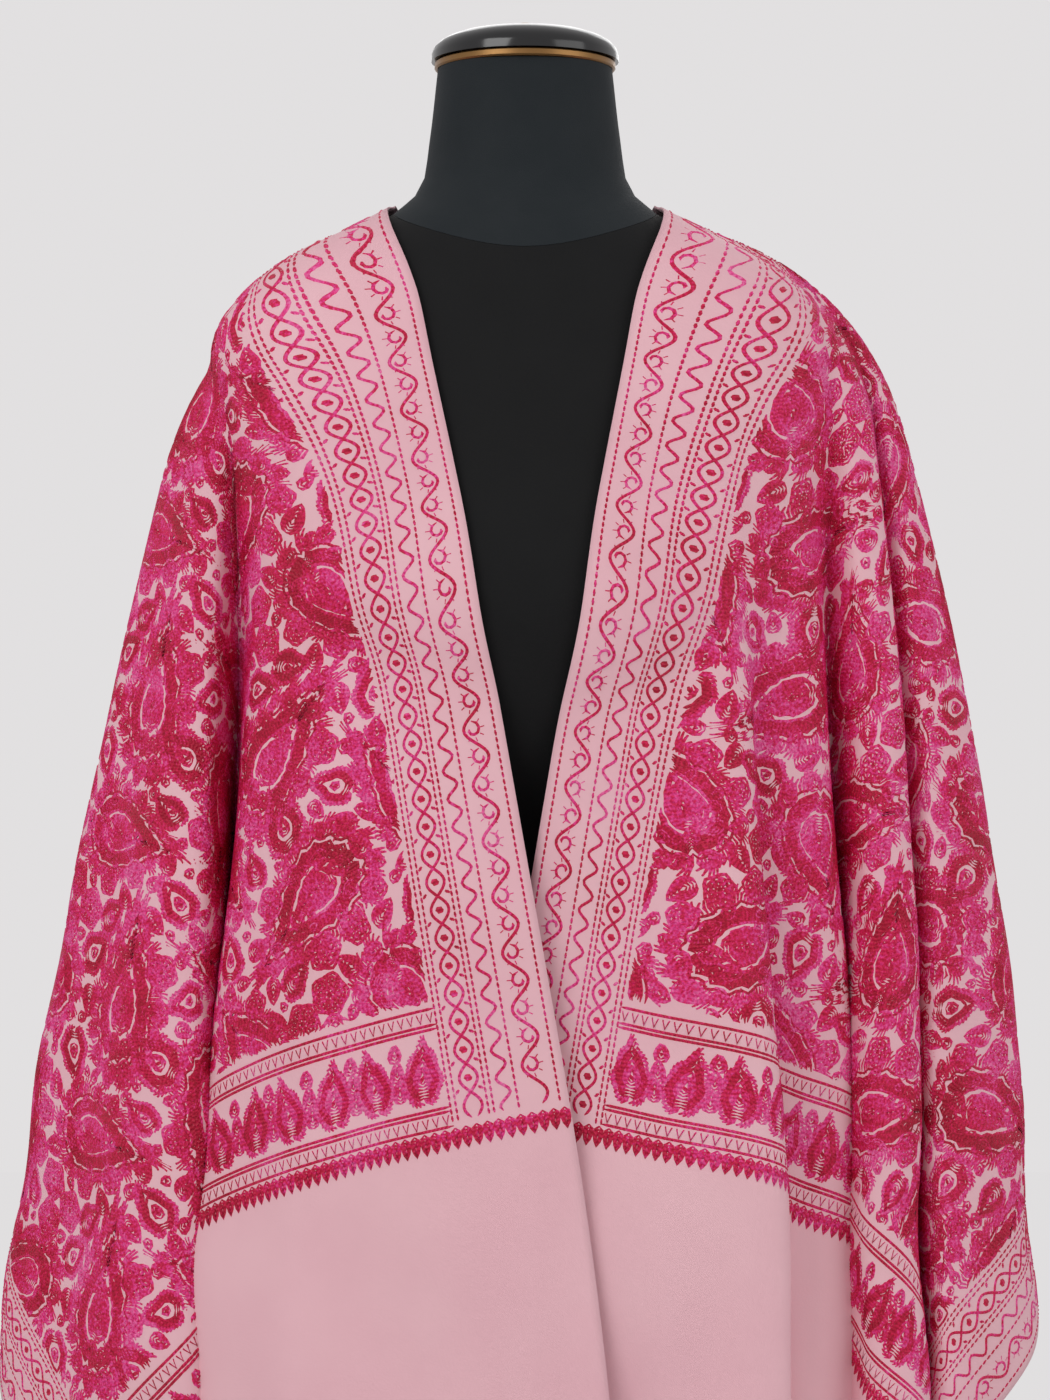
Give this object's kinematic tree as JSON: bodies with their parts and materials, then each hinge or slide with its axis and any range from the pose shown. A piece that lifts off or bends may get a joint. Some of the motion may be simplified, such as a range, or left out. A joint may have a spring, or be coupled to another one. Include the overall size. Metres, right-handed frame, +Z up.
{
  "type": "embroidered stole on a dress form",
  "caption": "Rectangular wool stole with dense embroidery, worn open over the shoulders of a limbless dress form on a round-based stand.",
  "frame": {"origin": "centre of the stand base's underside, on the floor", "axes": "+Z up the stand; -Y is the front, where the stole's ends lap; +X is the viewer's right"},
  "size_m": [0.6649, 0.38, 1.5159],
  "materials": {
    "stole_wool": "fine twill wool, soft and matt",
    "embroidery_thread": "silky chain stitch, space-dyed crimson to hot pink",
    "form_black": "matt black jersey",
    "form_slate": "matt slate jersey",
    "cap_gloss": "glossy black lacquer",
    "ring_gold": "gold-brown, satin",
    "knob_brass": "polished",
    "stand_paint": "satin black"
  },
  "bodies": {
    "root": {"stole_front_over": "stole_wool", "stole_back": "stole_wool", "stole_front_under": "stole_wool", "form_torso": "form_black", "form_neck": "form_slate", "neck_ring": "ring_gold", "neck_cap": "cap_gloss", "cap_knob": "knob_brass", "stand_pole": "stand_paint", "stand_collar": "stand_paint", "stand_base": "stand_paint"}
  },
  "joints": []
}
